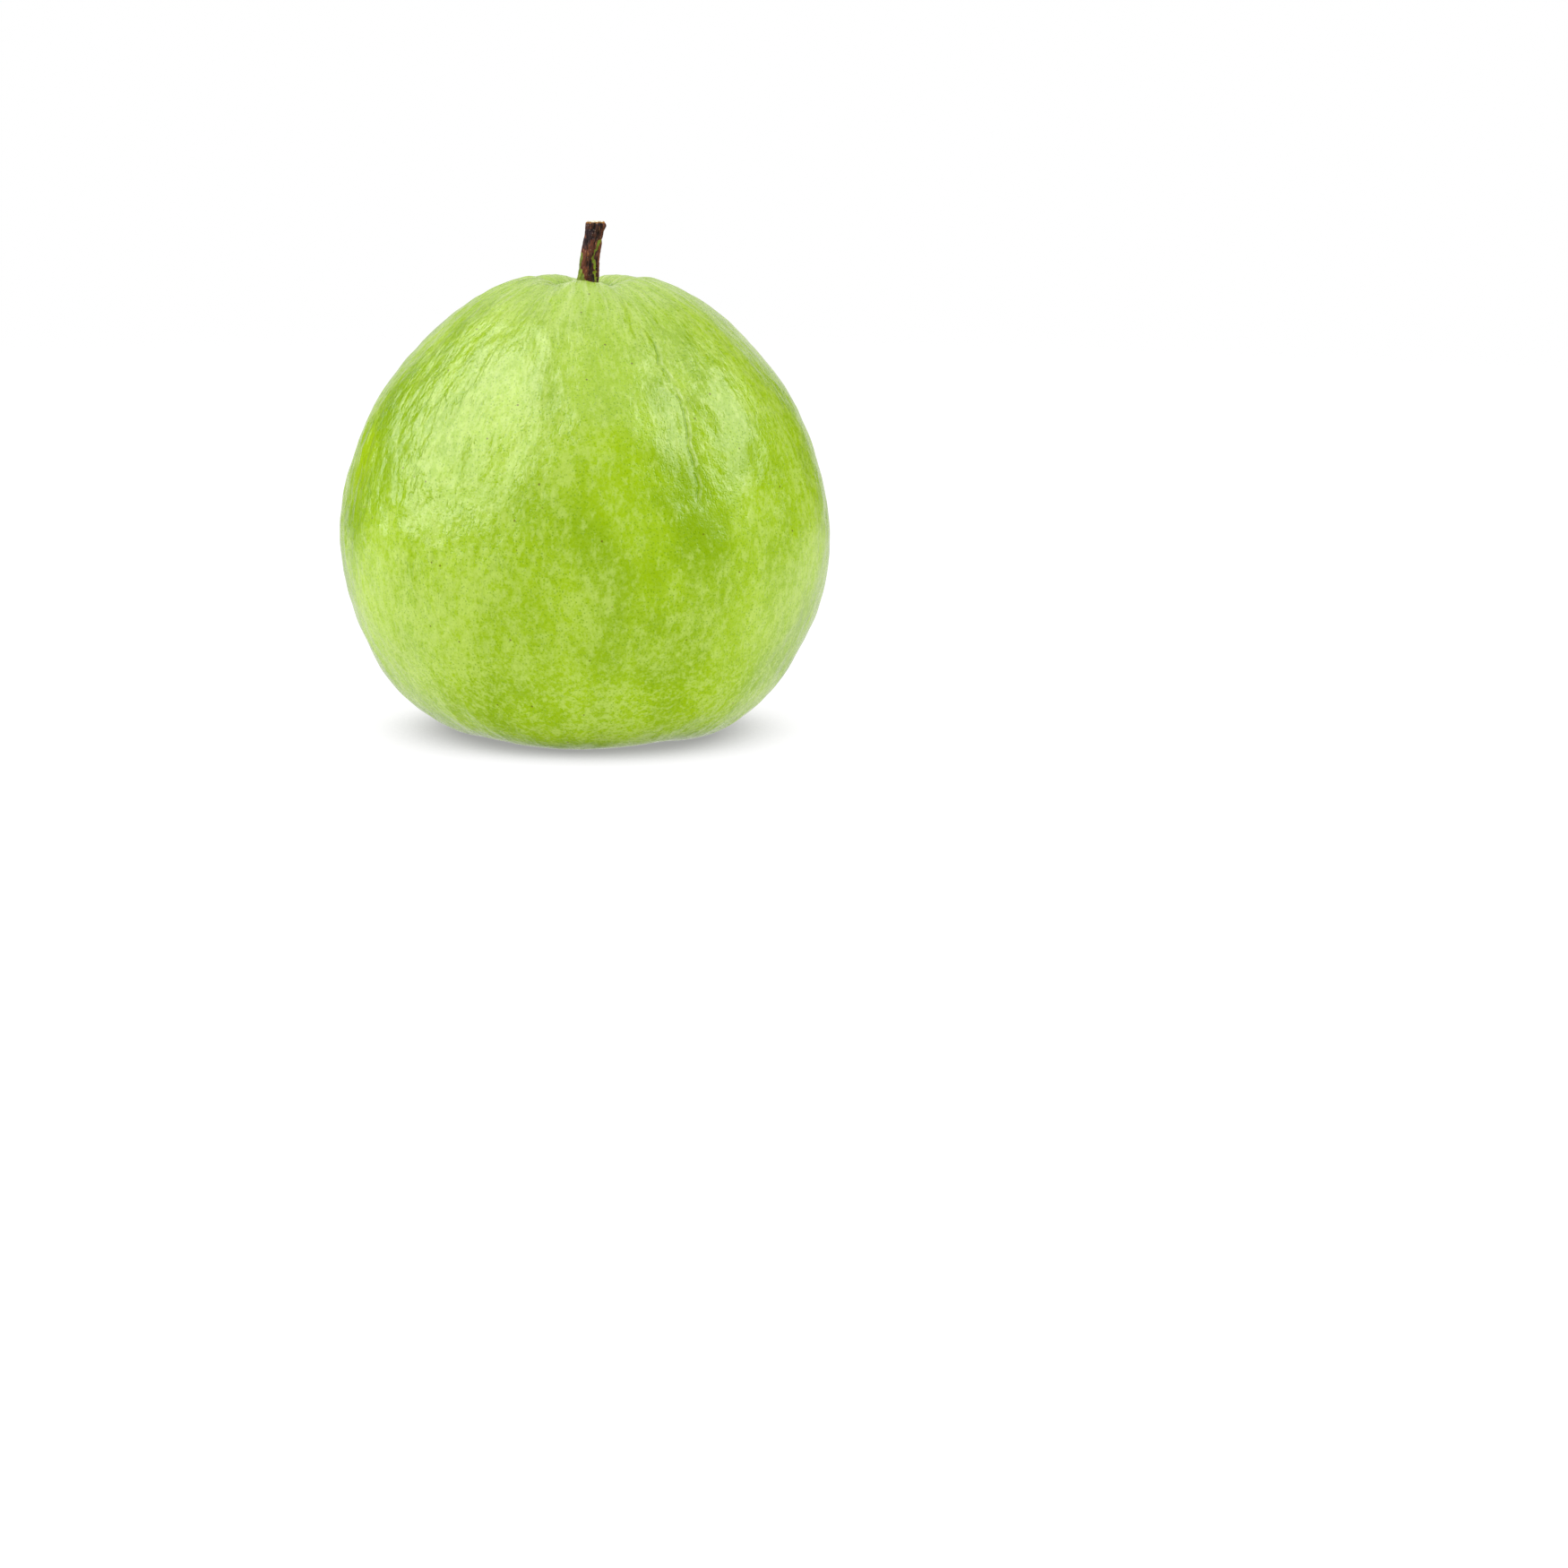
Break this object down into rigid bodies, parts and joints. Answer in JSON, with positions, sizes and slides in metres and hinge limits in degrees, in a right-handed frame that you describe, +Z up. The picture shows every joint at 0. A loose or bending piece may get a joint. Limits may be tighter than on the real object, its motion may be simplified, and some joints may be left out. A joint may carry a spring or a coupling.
{
  "type": "guava",
  "caption": "Whole ripe green guava with a short woody stem, standing upright on the lobes round its blossom end; a fruit to rest on a plate, board, shelf or in a bowl.",
  "frame": {"origin": "on the surface that the fruit stands on, under the middle of the fruit", "axes": "+Z up, from the blossom end to the stem; -Y is the front, where the long furrow runs down the right-hand side; +X is to the right of the front, the side the stem leans to"},
  "size_m": [0.0945, 0.0955, 0.0984],
  "materials": {
    "skin": "waxy yellow-green guava skin with a soft gloss, pale mottling, fine darker oil dots and sparse brown specks",
    "bark": "dark brown ridged bark with green patches and a pale cut end",
    "dried_sepal": "dry, leathery, reddish brown sepals with paler orange edges"
  },
  "bodies": {
    "root": {"fruit": "skin", "stem": "bark", "calyx": "dried_sepal"}
  },
  "joints": []
}
